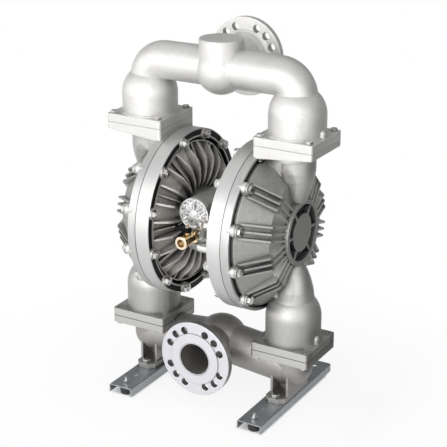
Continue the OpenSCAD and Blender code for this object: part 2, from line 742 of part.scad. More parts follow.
// Dished plate on the air side, which backs the diaphragm
module inner_plate() {
  x1 = parting_x - diaphragm_t / 2;
  x0 = x1 - inner_plate_t;
  color("darkgray") turned_x([[shaft_r - 3 + slide_gap, x0], [34, x0], [40, x0 + 4],
    [centre_plate_r - 6, x1 - 7], [centre_plate_r, x1 - 3], [centre_plate_r - 2, x1], [shaft_r - 3 + slide_gap, x1]]);
}

// Domed plate on the liquid side, with its nut boss
module outer_plate() {
  x0 = parting_x + diaphragm_t / 2;
  color("silver") turned_x([[shaft_r - 3 + slide_gap, x0], [centre_plate_r - 2, x0], [centre_plate_r, x0 + 3],
    [centre_plate_r - 8, x0 + 8], [30, x0 + 14], [26, x0 + 24], [0, x0 + 24], [0, parting_x + 22],
    [shaft_r - 3 + slide_gap, parting_x + 22]]);
}

module shaft_bush() {
  color("peru") difference() {
    rod_x(bush_r, hub_x - bush_len, hub_x - 6, 0, shaft_z);
    rod_x(shaft_r + slide_gap, hub_x - bush_len - over, hub_x, 0, shaft_z);
  }
}

module shaft_seals() {
  color("black") for (side = [-1, 1]) mirrored(side)
    turned_x([[shaft_r + slide_gap, hub_x - 5.8], [bush_r, hub_x - 5.8], [bush_r, hub_x - 0.3],
      [shaft_r + 2, hub_x - 0.3], [shaft_r + slide_gap, hub_x - 2]]);
}

// Valve seat with a conical face that the ball rests on, under a seam plane
module valve_seat(z_seam) {
  bore = seat_contact_r - 2.5;
  top_r = seat_contact_r + seat_contact_depth / seat_slope;
  bore_z = z_seam - seat_contact_depth - 2.5 * seat_slope;
  groove_r = seat_r - 4;
  color("silver") turned_z([[bore, z_seam - seat_t], [seat_r, z_seam - seat_t], [seat_r, z_seam - 7.5],
    [groove_r, z_seam - 7.5], [groove_r, z_seam - 3], [seat_r, z_seam - 3], [seat_r, z_seam],
    [top_r, z_seam], [bore, bore_z]], port_x);
}

module seat_rings(z_seam) {
  ring_minor = 2;
  color("black") for (side = [-1, 1]) mirrored(side)
    translate([port_x, 0, z_seam - 5.25]) rotate_extrude() translate([seat_r - ring_minor + 0.2, 0])
      circle(r = ring_minor);
}

module check_ball(z) {
  color("white") translate([port_x, 0, z]) sphere(r = ball_r);
}

module ring_bolt_set() {
  color("gainsboro") {
    round_shaft(through_angles) {
      rod_x(m12[0], ring_nut_x - 12, ring_boss_x + over, ring_bolt_circle_r);
      hexagon_x(m12[1], ring_boss_x, ring_boss_x + m12[2], ring_bolt_circle_r, high = true);
    }
    round_shaft(stud_angles) rod_x(m12[0], ring_nut_x - 12, stud_end_x, ring_bolt_circle_r);
  }
}

module ring_nut_set() {
  color("gainsboro") round_shaft(bolt_angles) difference() {
    hexagon_x(m12[1], ring_nut_x - 10, ring_nut_x, ring_bolt_circle_r, low = true);
    rod_x(m12[0] + slide_gap * 2, ring_nut_x - 11, ring_nut_x + over, ring_bolt_circle_r);
  }
}

// The lower joint's bolts come up from below into the outer chamber's plate
module lower_joint_bolts() {
  color("gainsboro") for (side = [-1, 1]) mirrored(side) at_joint_corners() {
    hexagon_z(m10[1], lower_plate_bottom - m10[2], lower_plate_bottom, low = true);
    rod_z(m10[0], lower_plate_bottom - over, lower_plate_top - 1.5);
  }
}

// The upper joint's outer bolts are screwed into the chamber's plate. Its inner ones go through both
// plates, with nuts on the spot faces below.
module upper_joint_bolts() {
  color("gainsboro") for (side = [-1, 1]) mirrored(side) {
    at_joint_corners() hexagon_z(m10[1], upper_plate_top, upper_plate_top + m10[2], high = true);
    at_joint_edge(-1) rod_z(m10[0], nut_top_inner - 11, upper_plate_top + over);
    at_joint_edge(1) rod_z(m10[0], tapped_end_z, upper_plate_top + over);
  }
}

module nut_z(top) {
  difference() {
    hexagon_z(m10[1], top - 8.4, top, low = true);
    rod_z(m10[0] + slide_gap * 2, top - 11, top + over);
  }
}

module upper_joint_nuts() {
  color("gainsboro") for (side = [-1, 1]) mirrored(side) at_joint_edge(-1) nut_z(nut_top_inner);
}

module centre_bolts() {
  color("gainsboro") for (side = [-1, 1]) mirrored(side) round_shaft([for (i = [0:5]) 30 + i * 60]) {
    rod_x(m8[0], hub_x - 20, hub_inner_x - m8[2], hub_bolt_r);
    hexagon_x(m8[1] - 0.6, hub_inner_x - m8[2] - 0.5, hub_inner_x - 0.5, hub_bolt_r);
  }
}

// Air valve: a round housing on the centre body's front face
sleeve_r = spool_r + 6;
sleeve_y0 = -valve_front_y + 2;
sleeve_y1 = -face_y - 6;
nipple_depth = 13;
cover_hole_depth = 12;

module air_valve_body() {
  boss_r = 16;
  boss_front = 112;
  color("lightgray") difference() {
    union() {
      rod_y(valve_r, -valve_front_y, -face_y, 0, valve_z);
      block(-37, 37, -face_y - 9, -face_y, brass_z - 22, valve_z);
      rod_y(boss_r, -boss_front, -face_y, 0, brass_z);
      block(-12, 12, -boss_front + 14, -face_y, brass_z, valve_z);
    }
    rod_y(sleeve_r + slide_gap, -valve_front_y - over, sleeve_y1, 0, valve_z);
    rod_y(nipple_r + slide_gap, -boss_front - over, -boss_front + nipple_depth, 0, brass_z);
    rod_y(nipple_r - 3, -boss_front, -face_y - nipple_depth + over, 0, brass_z);
    at_cover_bolts() rod_y(m6[0] + slide_gap, -valve_front_y - over, -valve_front_y + cover_hole_depth);
  }
}

module at_cover_bolts() {
  for (i = [0:5]) translate([0, 0, valve_z]) rotate([0, 30 + i * 60, 0]) translate([valve_r - 7, 0, 0])
    children();
}

module air_valve_sleeve() {
  color("silver") difference() {
    rod_y(sleeve_r, sleeve_y0, sleeve_y1 - 0.2, 0, valve_z);
    rod_y(spool_r + slide_gap, sleeve_y0 - over, sleeve_y1 + over, 0, valve_z);
    for (y = [sleeve_y0 + 14, sleeve_y0 + 30]) for (a = [0:60:300])
      translate([0, y, valve_z]) rotate([0, a, 0]) rod_x(3, spool_r - 1, sleeve_r + 1);
  }
}

// Valve spool: three lands with seal grooves, and two waists between them
spool_y = (sleeve_y0 + sleeve_y1) / 2;
spool_half = (sleeve_y1 - sleeve_y0) / 2 - spool_travel - 2;
land_y = [-spool_half + 2.5, 0, spool_half - 2.5];

module air_valve_spool() {
  waist_r = spool_r - 6;
  color("silver") difference() {
    union() {
      rod_y(waist_r, spool_y - spool_half, spool_y + spool_half, 0, valve_z);
      for (y = land_y) rod_y(spool_r, spool_y + y - 2.5, spool_y + y + 2.5, 0, valve_z);
    }
    for (y = land_y) turned_y([[spool_r - 2.2, spool_y + y - 1.3], [spool_r + 1, spool_y + y - 1.3],
      [spool_r + 1, spool_y + y + 1.3], [spool_r - 2.2, spool_y + y + 1.3]], 0, valve_z);
  }
}

module spool_seals() {
  color("black") for (y = land_y)
    translate([0, spool_y + y, valve_z]) rotate([90, 0, 0]) rotate_extrude() translate([spool_r - 1.1, 0])
      circle(r = 1.08);
}

// Die-cast round cover with a rim, radial ribs and a middle boss for the reset button
gasket_t = 1;
cover_back = -valve_front_y - gasket_t;
cover_t = 5;
button_r = 5;
cut_len = 30;

module air_valve_cover() {
  rim_h = 4;
  ribs = 12;
  boss_r = 10;
  color("whitesmoke") difference() {
    union() {
      rod_y(valve_r, cover_back - cover_t, cover_back, 0, valve_z);
      difference() {
        rod_y(valve_r, cover_back - cover_t - rim_h, cover_back, 0, valve_z);
        rod_y(valve_r - 3, cover_back - cover_t - rim_h - over, cover_back, 0, valve_z);
      }
      for (i = [0:ribs - 1]) translate([0, 0, valve_z]) rotate([0, i * 360 / ribs, 0])
        block(0, valve_r - 2, cover_back - cover_t - rim_h, cover_back, -1.2, 1.2);
      rod_y(boss_r, cover_back - cover_t - rim_h - 2, cover_back, 0, valve_z);
      at_cover_bolts() rod_y(6, cover_back - cover_t - 1, cover_back);
    }
    rod_y(button_r + slide_gap, cover_back - cut_len, cover_back + over, 0, valve_z);
    at_cover_bolts() rod_y(m6[0] + 0.4, cover_back - cut_len, cover_back + over);
    at_cover_bolts() rod_y(m6[1] + 0.5, cover_back - cut_len, cover_back - cover_t - 1);
  }
}

module cover_gasket() {
  color("black") difference() {
    rod_y(valve_r - 0.5, -valve_front_y - gasket_t, -valve_front_y, 0, valve_z);
    rod_y(sleeve_r, -valve_front_y - 2, -valve_front_y + over, 0, valve_z);
    at_cover_bolts() rod_y(m6[0] + 0.6, -valve_front_y - 2, -valve_front_y + over);
  }
}

module cover_bolts() {
  head = cover_back - cover_t - 1;
  color("gainsboro") at_cover_bolts() {
    rod_y(m6[0], head - over, -valve_front_y + cover_hole_depth - over);
    hexagon_y(m6[1], head - m6[2], head, low = true);
  }
}

module reset_button() {
  front = cover_back - cover_t - 10;
  color("dimgray") {
    rod_y(button_r, front, cover_back + 1.5, 0, valve_z);
    rod_y(button_r + 2, cover_back + 0.3, cover_back + 1.5, 0, valve_z);
  }
}

// Pilot valve: a bright cross cylinder below the air valve
pilot_y = -95;
pilot_r = 13.5;
pilot_half = 30;
pilot_spool_r = 7;

module pilot_valve_body() {
  color("gainsboro") difference() {
    union() {
      rod_x(pilot_r, -4, pilot_half, pilot_y, port_pad_z);
      translate([-pilot_half, pilot_y, port_pad_z]) rotate([0, 90, 0])
        cylinder(r1 = pilot_spool_r + 1.5, r2 = pilot_r, h = pilot_half - 4);
      block(-20, 20, pilot_y, -pad_front_y, port_pad_z - 8, port_pad_z + 8);
    }
    rod_x(pilot_spool_r + slide_gap, -pilot_half + 5, pilot_half - 5, pilot_y, port_pad_z);
  }
}

module pilot_spool() {
  color("silver") {
    for (x = [-16, -2.5, 11]) rod_x(pilot_spool_r, x, x + 5, pilot_y, port_pad_z);
    rod_x(pilot_spool_r - 3, -16, 16, pilot_y, port_pad_z);
  }
}

// Brass inlet valve, screwed to the air valve through a short nipple
nipple_r = 10;
brass_back = 128;
brass_socket = 12;
brass_bore_r = 7.5;
air_thread_r = 9.9;
brass_ball_r = 11;
brass_cavity_r = 11.4;
stem_r = 4;
handle_z = brass_z + 20;

module inlet_nipple() {
  color("gainsboro") difference() {
    rod_y(nipple_r, -brass_back - brass_socket + 2, -100, 0, brass_z);
    rod_y(7, -brass_back - brass_socket, -99, 0, brass_z);
  }
}

module brass_valve_body() {
  collar_r = brass_r + 1.5;
  color("goldenrod") difference() {
    union() {
      hexagon_y(brass_r / cos(30), -brass_back - 12, -brass_back, 0, brass_z, low = true, high = true);
      rod_y(brass_r, -brass_front_y + 1, -brass_back - 4, 0, brass_z);
      rod_y(collar_r, -brass_front_y + 1, -brass_front_y + 10, 0, brass_z);
      rod_y(collar_r - 1, -brass_front_y, -brass_front_y + 2, 0, brass_z);
      rod_z(8, brass_z, handle_z - 2, 0, -brass_stem_y);
    }
    rod_y(brass_bore_r, -brass_front_y - over, -brass_back + over, 0, brass_z);
    rod_y(air_thread_r, -brass_front_y - over, -brass_front_y + 16, 0, brass_z);
    rod_y(nipple_r + slide_gap, -brass_back - brass_socket, -brass_back + over, 0, brass_z);
    rod_y(brass_cavity_r, -brass_stem_y - 12, -brass_stem_y + 12, 0, brass_z);
    rod_z(stem_r + slide_gap, brass_z, handle_z, 0, -brass_stem_y);
  }
}

module brass_valve_ball() {
  color("silver") difference() {
    translate([0, -brass_stem_y, brass_z]) sphere(r = brass_ball_r);
    rod_x(brass_bore_r - 0.5, -brass_ball_r - over, brass_ball_r + over, -brass_stem_y, brass_z);
    rod_z(stem_r + slide_gap, brass_z + 8.5, brass_z + 20, 0, -brass_stem_y);
  }
}

module brass_valve_seats() {
  color("white") difference() {
    for (s = [-1, 1]) rod_y(brass_cavity_r - slide_gap, -brass_stem_y + s * 8.8 - 3.1,
      -brass_stem_y + s * 8.8 + 3.1, 0, brass_z);
    rod_y(brass_bore_r, -brass_stem_y - 20, -brass_stem_y + 20, 0, brass_z);
    translate([0, -brass_stem_y, brass_z]) sphere(r = brass_ball_r + slide_gap);
  }
}

module brass_valve_stem() {
  color("gold") {
    rod_z(stem_r, brass_z + 8.6, handle_z + 12, 0, -brass_stem_y);
    rod_z(stem_r - 1, handle_z + 11, handle_z + 16, 0, -brass_stem_y);
  }
}

// Black moulded lever, across the pipe when the valve is shut
module brass_valve_handle() {
  lever = 34;
  handle_h = 10;
  z0 = handle_z - 1.5;
  color("black") difference() {
    union() {
      rod_z(9, z0, z0 + handle_h, 0, -brass_stem_y);
      block(-lever + 8, 0, -brass_stem_y - 7, -brass_stem_y + 7, z0 + 1, z0 + handle_h);
      rod_z(8, z0 + 1, z0 + handle_h, -lever + 8, -brass_stem_y);
    }
    rod_z(stem_r + slide_gap, z0 - over, z0 + handle_h + over, 0, -brass_stem_y);
  }
}

module handle_nut() {
  z0 = handle_z - 1.5 + 10;
  color("silver") translate([0, -brass_stem_y, 0]) difference() {
    hexagon_z(6, z0, z0 + 4, high = true);
    rod_z(stem_r + slide_gap, z0 - over, z0 + 5);
  }
}

// Exhaust silencer at the back, with turned grooves round its body
module exhaust_silencer() {
  neck_r = 20;
  neck_y = 52;
  hex_r = 27;
  body_r = 29;
  y0 = 66;
  len = 84;
  rings = 7;
  color("darkslategray") difference() {
    union() {
      rod_y(neck_r, neck_y, y0 + 2, 0, shaft_z);
      hexagon_y(hex_r, y0, y0 + 10, 0, shaft_z, low = true, high = true);
      rod_y(body_r, y0 + 10, y0 + len - 6, 0, shaft_z);
      cone_y(body_r, body_r - 6, y0 + len - 6, y0 + len, 0, shaft_z);
    }
    for (i = [0:rings - 1]) turned_y([[body_r - 3, y0 + 17 + i * 8], [body_r + 1, y0 + 17 + i * 8],
      [body_r + 1, y0 + 21 + i * 8], [body_r - 3, y0 + 21 + i * 8]], 0, shaft_z);
    rod_y(14, neck_y - over, y0 + len - 14, 0, shaft_z);
  }
}

// Rail: a folded channel, open below, with a row of holes at each end
module rail() {
  bend_r = 3.5;
  color("lightsteelblue") difference() {
    translate([rail_x, rail_len / 2, 0]) rotate([90, 0, 0]) linear_extrude(rail_len) difference() {
      union() {
        translate([-rail_w / 2, foot_drop]) square([rail_w, rail_h - bend_r]);
        translate([-rail_w / 2 + bend_r, foot_drop]) square([rail_w - 2 * bend_r, rail_h]);
        for (s = [-1, 1]) translate([s * (rail_w / 2 - bend_r), rail_top_z - bend_r]) circle(r = bend_r);
      }
      translate([-rail_w / 2 + rail_t, foot_drop - over]) square([rail_w - 2 * rail_t, rail_h - rail_t + over]);
    }
    for (y = [-rail_holes_outer_y, -rail_holes_inner_y, rail_holes_inner_y, rail_holes_outer_y])
      rod_z(rail_hole_r, rail_floor_z - over, rail_top_z + over, rail_x, y);
    at_pad_bolts() rod_z(m12[0] + hole_gap, rail_floor_z - over, rail_top_z + over);
  }
}

module at_feet() {
  for (side = [-1, 1]) for (y = [front_foot_y, rear_foot_y]) translate([side * rail_x, y, 0]) children();
}

module rubber_feet() {
  color("black") at_feet() difference() {
    union() {
      cone_z(13, 14.5, 0, 2);
      cone_z(14.5, 17, 2, rail_floor_z);
    }
    rod_z(m8[0] + 0.3, -over, rail_floor_z + over);
    rod_z(9, -over, 9);
  }
}

// Each rubber foot hangs on a screw whose nut sits on the rail
module rubber_foot_bolts() {
  color("gainsboro") at_feet() {
    rod_z(m8[0], 8, rail_top_z + 13);
    rod_z(7, 4, 9);
    difference() {
      hexagon_z(m8[1], rail_top_z, rail_top_z + 6.5, high = true);
      rod_z(m8[0] + 0.1, rail_top_z - over, rail_top_z + 8);
    }
  }
}

module manifold_foot_bolts() {
  pad_top = rail_top_z + pad_t;
  color("gainsboro") for (side = [-1, 1]) mirrored(side) at_pad_bolts() {
    hexagon_z(m12[1], pad_top, pad_top + m12[2], high = true);
    rod_z(m12[0], rail_floor_z - 14, pad_top + over);
    difference() {
      hexagon_z(m12[1], rail_floor_z - 10, rail_floor_z, low = true);
      rod_z(m12[0] + 0.1, rail_floor_z - 11, rail_floor_z + over);
    }
  }
}

inlet_manifold();
outlet_manifold();
mirrored(-1) outer_chamber();  // outer_chamber_left
outer_chamber();  // outer_chamber_right
mirrored(-1) air_chamber();  // air_chamber_left
air_chamber();  // air_chamber_right
centre_body();
mirrored(-1) diaphragm();  // diaphragm_left
diaphragm();  // diaphragm_right
diaphragm_shaft();
mirrored(-1) inner_plate();  // inner_plate_left
inner_plate();  // inner_plate_right
mirrored(-1) outer_plate();  // outer_plate_left
outer_plate();  // outer_plate_right
mirrored(-1) shaft_bush();  // shaft_bush_left
shaft_bush();  // shaft_bush_right
shaft_seals();
mirrored(-1) valve_seat(lower_seam_z);  // lower_seat_left
valve_seat(lower_seam_z);  // lower_seat_right
mirrored(-1) valve_seat(upper_seam_z);  // upper_seat_left
valve_seat(upper_seam_z);  // upper_seat_right
seat_rings(lower_seam_z);  // lower_seat_rings
seat_rings(upper_seam_z);  // upper_seat_rings
mirrored(-1) check_ball(lower_ball_z);  // lower_ball_left
check_ball(lower_ball_z);  // lower_ball_right
mirrored(-1) check_ball(upper_ball_z);  // upper_ball_left
check_ball(upper_ball_z);  // upper_ball_right
mirrored(-1) ring_bolt_set();  // ring_bolts_left
ring_bolt_set();  // ring_bolts_right
mirrored(-1) ring_nut_set();  // ring_nuts_left
ring_nut_set();  // ring_nuts_right
lower_joint_bolts();
upper_joint_bolts();
upper_joint_nuts();
centre_bolts();
air_valve_body();
air_valve_sleeve();
air_valve_spool();
spool_seals();
air_valve_cover();
cover_gasket();
cover_bolts();
reset_button();
pilot_valve_body();
pilot_spool();
inlet_nipple();
brass_valve_body();
brass_valve_ball();
brass_valve_seats();
brass_valve_stem();
brass_valve_handle();
handle_nut();
exhaust_silencer();
mirrored(-1) rail();  // rail_left
rail();  // rail_right
rubber_feet();
rubber_foot_bolts();
manifold_foot_bolts();
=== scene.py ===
import json
import math

import bpy
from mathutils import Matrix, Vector


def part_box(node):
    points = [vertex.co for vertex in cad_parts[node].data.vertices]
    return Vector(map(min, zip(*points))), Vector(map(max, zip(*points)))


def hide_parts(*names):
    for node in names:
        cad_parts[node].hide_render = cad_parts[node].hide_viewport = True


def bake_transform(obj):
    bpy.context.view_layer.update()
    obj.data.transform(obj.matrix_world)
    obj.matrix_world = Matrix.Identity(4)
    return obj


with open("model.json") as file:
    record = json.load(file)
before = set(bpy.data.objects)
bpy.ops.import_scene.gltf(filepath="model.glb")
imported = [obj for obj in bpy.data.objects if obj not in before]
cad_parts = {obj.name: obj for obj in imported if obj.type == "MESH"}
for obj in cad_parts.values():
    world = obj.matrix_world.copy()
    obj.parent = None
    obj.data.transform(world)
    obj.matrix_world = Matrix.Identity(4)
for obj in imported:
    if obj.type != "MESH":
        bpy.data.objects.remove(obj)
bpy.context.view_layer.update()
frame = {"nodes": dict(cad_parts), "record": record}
scene = bpy.context.scene
nodes = frame["nodes"]


# Camera
# It stands where the photograph was taken from: in front of the pump, to its right and above its middle.
# The place was found from the flanges, the rings and their bolt circles.
CAMERA_PLACE = Vector((1.4527, -2.4820, 1.5118))
CAMERA_AIM = Vector((0.00224, 0.00505, 0.43396))

camera_data = bpy.data.cameras.new("camera")
camera_data.lens = 101.98
camera_data.sensor_width = 36.0
camera_data.clip_end = 50.0
camera = bpy.data.objects.new("camera", camera_data)
camera.location = CAMERA_PLACE
camera.rotation_euler = (CAMERA_AIM - CAMERA_PLACE).to_track_quat("-Z", "Y").to_euler()
scene.collection.objects.link(camera)
scene.camera = camera
scene.view_settings.view_transform = "Standard"


# Studio lamps
# Large soft boxes, as in a product studio: a strong one in front, one at each side and a weak one above.
PUMP_MIDDLE = (0.0, 0.0, 0.45)
PUMP_CROWN = (0.0, 0.0, 0.5)


def softbox(name, place, target, width, height, watts):
    """A rectangular lamp at this place, turned towards the target."""
    lamp = bpy.data.lights.new(name, "AREA")
    lamp.shape = "RECTANGLE"
    lamp.size = width
    lamp.size_y = height
    lamp.energy = watts
    obj = bpy.data.objects.new(name, lamp)
    obj.location = place
    obj.rotation_euler = (Vector(target) - Vector(place)).to_track_quat("-Z", "Y").to_euler()
    scene.collection.objects.link(obj)


softbox("key_box", (0.1, -3.8, 1.5), PUMP_MIDDLE, width=3.0, height=2.0, watts=110)
softbox("left_box", (-3.0, -2.0, 1.4), PUMP_MIDDLE, width=1.6, height=1.8, watts=27)
softbox("right_box", (2.9, -1.9, 1.3), PUMP_MIDDLE, width=1.4, height=1.7, watts=24)
softbox("top_box", (-0.6, 0.2, 3.0), PUMP_CROWN, width=2.2, height=2.2, watts=8)


# Studio room
# Its walls light the pump softly: palest to the front left, darkest to the back right, and with a
# paler patch high on the right. The camera sees plain white, and so does metal where the backdrop stands.
class NodeSheet:
    """A node tree, with one short call for each kind of node."""

    def __init__(self, tree):
        self.tree = tree
        self.tree.nodes.clear()

    def node(self, kind):
        return self.tree.nodes.new(kind)

    def link(self, a, b):
        self.tree.links.new(a, b)

    def put(self, socket, value):
        """Links a socket, or sets it to a plain value."""
        if isinstance(value, bpy.types.NodeSocket):
            self.link(value, socket)
        else:
            socket.default_value = value

    def math(self, operation, *values):
        n = self.node("ShaderNodeMath")
        n.operation = operation
        for socket, value in zip(n.inputs, values):
            self.put(socket, value)
        return n.outputs[0]

    def span(self, value, low, high, at_low=0.0, at_high=1.0):
        """Runs from at_low to at_high as the value goes from low to high, and stays there beyond them."""
        n = self.node("ShaderNodeMapRange")
        for socket, v in zip(n.inputs, (value, low, high, at_low, at_high)):
            self.put(socket, v)
        return n.outputs[0]


world = bpy.data.worlds.new("studio")
scene.world = world
world.use_nodes = True
room = NodeSheet(world.node_tree)
room_light = room.node("ShaderNodeBackground")
room_light.inputs["Color"].default_value = (1.0, 1.0, 1.0, 1.0)
room.link(room_light.outputs[0], room.node("ShaderNodeOutputWorld").inputs["Surface"])
way = room.node("ShaderNodeSeparateXYZ")
room.link(room.node("ShaderNodeTexCoord").outputs["Generated"], way.inputs[0])
way_x, way_y, way_z = way.outputs


def way_along(x, y):
    """How far a ray points along the level direction (x, y)."""
    return room.math("ADD", room.math("MULTIPLY", way_x, x), room.math("MULTIPLY", way_y, y))


walls = room.span(way_along(-0.55, -0.83), -0.7, 0.9, 0.10, 0.80)
right_patch = room.math("MULTIPLY", room.span(way_z, 0.05, 0.70, 0.0, 0.55), room.span(way_x, 0.0, 0.4))
walls = room.math("ADD", walls, right_patch)
backdrop = room.math("MULTIPLY", room.span(way_along(-0.60, 0.80), 0.35, 0.85), room.span(way_z, 0.30, 0.0))
ray = room.node("ShaderNodeLightPath")
mirrored = room.math("MAXIMUM", ray.outputs["Is Glossy Ray"], ray.outputs["Is Transmission Ray"])
white = room.math("MAXIMUM", ray.outputs["Is Camera Ray"], room.math("MULTIPLY", mirrored, backdrop))
room.link(room.math("MAXIMUM", walls, white), room_light.inputs["Strength"])


# Rails and rubber feet
# Two folded steel channels carry the pump. They are zinc plated, bluish grey and faintly cloudy.
# Moulded rubber feet are bolted under them, and bright bolts on top hold the inlet manifold's feet.
ZINC = (0.40, 0.43, 0.45)
BOLT_STEEL = (0.72, 0.715, 0.70)
RUBBER = (0.018, 0.018, 0.018)


class Finish(NodeSheet):
    """A finish for pieces of the pump, mixed from nodes that read the place on the pump."""

    def __init__(self, name):
        self.mat = bpy.data.materials.new(name)
        self.mat.use_nodes = True
        super().__init__(self.mat.node_tree)
        self.out = self.node("ShaderNodeOutputMaterial")
        self.shader = self.node("ShaderNodeBsdfPrincipled")
        self.link(self.shader.outputs[0], self.out.inputs["Surface"])
        self.place = self.node("ShaderNodeTexCoord").outputs["Object"]
        split = self.node("ShaderNodeSeparateXYZ")
        self.link(self.place, split.inputs[0])
        self.x, self.y, self.z = split.outputs

    def noise(self, scale, detail=2.0, rough=0.5, stretch=None):
        n = self.node("ShaderNodeTexNoise")
        n.inputs["Scale"].default_value = scale
        n.inputs["Detail"].default_value = detail
        n.inputs["Roughness"].default_value = rough
        place = self.place
        if stretch:
            stretched = self.node("ShaderNodeVectorMath")
            stretched.operation = "MULTIPLY"
            self.link(place, stretched.inputs[0])
            stretched.inputs[1].default_value = stretch
            place = stretched.outputs[0]
        self.link(place, n.inputs["Vector"])
        return n.outputs["Fac"]

    def mix(self, share, a, b):
        """Colour a where the share is 0, and b where it is 1."""
        n = self.node("ShaderNodeMix")
        n.data_type = "RGBA"
        self.put(n.inputs["Factor"], share)
        for socket, color in ((n.inputs[6], a), (n.inputs[7], b)):
            self.put(socket, color if isinstance(color, bpy.types.NodeSocket) else (*color, 1))
        return n.outputs[2]

    def bump(self, height, strength, distance, normal=None):
        n = self.node("ShaderNodeBump")
        n.inputs["Strength"].default_value = strength
        n.inputs["Distance"].default_value = distance
        self.link(height, n.inputs["Height"])
        if normal is not None:
            self.link(normal, n.inputs["Normal"])
        return n.outputs[0]

    def round_edges(self, radius):
        n = self.node("ShaderNodeBevel")
        n.samples = 4
        n.inputs["Radius"].default_value = radius
        return n.outputs[0]

    def outer_edge_mask(self, rounded):
        """1 along outer edges, where the rounded normal turns from the face's own, and 0 on flats."""
        turn = self.node("ShaderNodeVectorMath")
        turn.operation = "DOT_PRODUCT"
        self.link(rounded, turn.inputs[0])
        self.link(self.node("ShaderNodeNewGeometry").outputs["Normal"], turn.inputs[1])
        return self.span(turn.outputs["Value"], 0.985, 0.88)

    def open_sky(self, reach):
        """1 on open faces, falling to 0 in corners that are narrower than this reach."""
        n = self.node("ShaderNodeAmbientOcclusion")
        n.samples = 6
        n.inputs["Distance"].default_value = reach
        return n.outputs["AO"]

    def apply(self, color, rough, normal, metallic=1.0):
        self.put(self.shader.inputs["Base Color"], color)
        self.put(self.shader.inputs["Roughness"], rough)
        self.link(normal, self.shader.inputs["Normal"])
        self.shader.inputs["Metallic"].default_value = metallic
        return self.mat


def shade(color, k):
    """The colour made darker or paler, short of white."""
    return tuple(min(1.0, c * k) for c in color)


def dress(finish, *names):
    """Gives the CAD nodes of these names this finish."""
    for name in names:
        obj = nodes[name]
        if not obj.material_slots:
            obj.data.materials.append(finish)
        for material_slot in obj.material_slots:
            material_slot.link = "OBJECT"
            material_slot.material = finish


def worked_metal(name, color, rough, edge=0.0006, grain=0.2, corner_shade=0.5, reach=0.006, edge_wear_and_highlight=0.3, detail=None):
    """Rolled, turned or plated metal: faint clouds, fine grain, painted shade in corners, and pale edges,
    partly wear and partly painted highlight.
    """
    n = Finish(name)
    cloud = n.noise(60, 3, 0.6)
    fine = n.noise(1800, 2, 0.6)
    rounded = n.round_edges(edge)
    open_sky = n.open_sky(reach)
    tone = n.mix(n.span(cloud, 0.3, 0.7), shade(color, 0.90), shade(color, 1.06))
    # Painted shade: the tone is darkened towards near black in corners narrower than the reach.
    tone = n.mix(n.span(open_sky, 0.8, 0.3, 0.0, corner_shade), tone, shade(color, 0.12))
    # Pale outer edges, partly wear and partly a painted highlight.
    worn_and_lit_edges = n.math("MULTIPLY", n.outer_edge_mask(rounded), n.span(open_sky, 0.5, 0.8, 0.0, edge_wear_and_highlight))
    tone = n.mix(worn_and_lit_edges, tone, shade(color, 1.5))
    if detail:
        tone = detail(n, tone)
    level = n.span(cloud, 0.3, 0.7, rough - 0.04, rough + 0.05)
    return n.apply(tone, level, n.bump(fine, grain, 0.0002, rounded))


def moulded(name, color, rough, edge=0.0008, grain=0.3, spread=0.25):
    """Rubber or plastic: a fine moulded grain and slow tone changes."""
    n = Finish(name)
    cloud = n.noise(40, 3, 0.6)
    fine = n.noise(1200, 2, 0.6)
    tone = n.mix(n.span(cloud, 0.3, 0.7), shade(color, 1 - spread), shade(color, 1 + spread))
    level = n.span(cloud, 0.3, 0.7, rough - 0.06, rough + 0.06)
    return n.apply(tone, level, n.bump(fine, grain, 0.0002, n.round_edges(edge)), metallic=0.0)


zinc = worked_metal("zinc", ZINC, rough=0.42, edge=0.0012, corner_shade=0.8, reach=0.02, edge_wear_and_highlight=0.8)
dress(zinc, "rail_left", "rail_right")
black_rubber = moulded("black_rubber", RUBBER, rough=0.62)
dress(black_rubber, "rubber_feet")
bright_bolt = worked_metal("bright_bolt", BOLT_STEEL, rough=0.24, corner_shade=0.9, reach=0.010, edge_wear_and_highlight=0.35)
dress(bright_bolt, "rubber_foot_bolts", "manifold_foot_bolts")


# Inlet manifold
# The liquid's way in: a stainless casting with a front flange, a round hub and a pipe to each side.
# Its skin is a warm mid grey as cast. The flange's face is turned bright, the plates' fronts are milled.
WARM_CASTING = (0.41, 0.40, 0.388)
TURNED_FACE = (0.68, 0.68, 0.71)
FACE_CUT = (0.30, 0.30, 0.31)
BORE_SKIN = (0.45, 0.44, 0.42)
MILLED_PLATE = (0.53, 0.525, 0.51)
SEAM_SHADOW = (0.08, 0.08, 0.078)
LATHE_PITCH = 0.0012
RAISED_FACE_R = 0.0662
BORE_LIP_R = 0.0425
BORE_R = 0.0405
BORE_DEPTH_Y = -0.02
PLATE_HALF_T = 0.022
SEAM_HALF = 0.0009

inlet_axis_z = next(m["pos_m"][2] for m in frame["record"]["mounts"] if m["name"] == "inlet_bore")
flange_front_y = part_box("inlet_manifold")[0][1]
plate_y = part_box("inlet_manifold")[1][1]
port_x = (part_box("lower_seat_right")[0][0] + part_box("lower_seat_right")[1][0]) / 2
plate_in_x = 2 * port_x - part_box("inlet_manifold")[1][0]
lower_seam_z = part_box("outer_chamber_right")[0][2]


